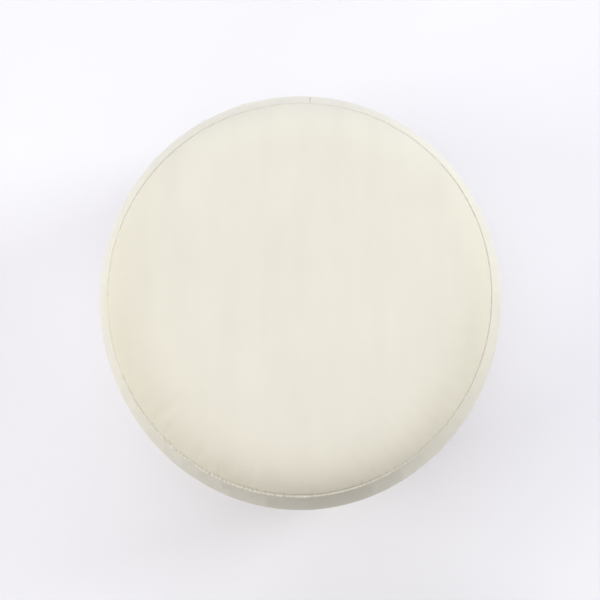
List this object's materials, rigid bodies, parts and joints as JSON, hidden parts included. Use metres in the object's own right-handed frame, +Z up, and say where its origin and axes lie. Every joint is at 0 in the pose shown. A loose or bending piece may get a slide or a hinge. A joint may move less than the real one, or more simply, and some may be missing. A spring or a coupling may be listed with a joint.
{
  "type": "round pouf ottoman",
  "caption": "Round upholstered pouf ottoman in cream velvet: a domed top panel and a swelling side band joined by a plain sewn seam, flat underneath.",
  "frame": {"origin": "middle of the flat underside, on the surface that the pouf stands on", "axes": "+Z up; -Y towards the front, which is the lower edge of the picture; +X to the right of the picture"},
  "size_m": [0.4314, 0.4449, 0.38],
  "materials": {
    "velvet": "matte short-pile velvet"
  },
  "bodies": {
    "root": {"top_panel": "velvet", "side_band": "velvet", "base_panel": "velvet"}
  },
  "joints": []
}
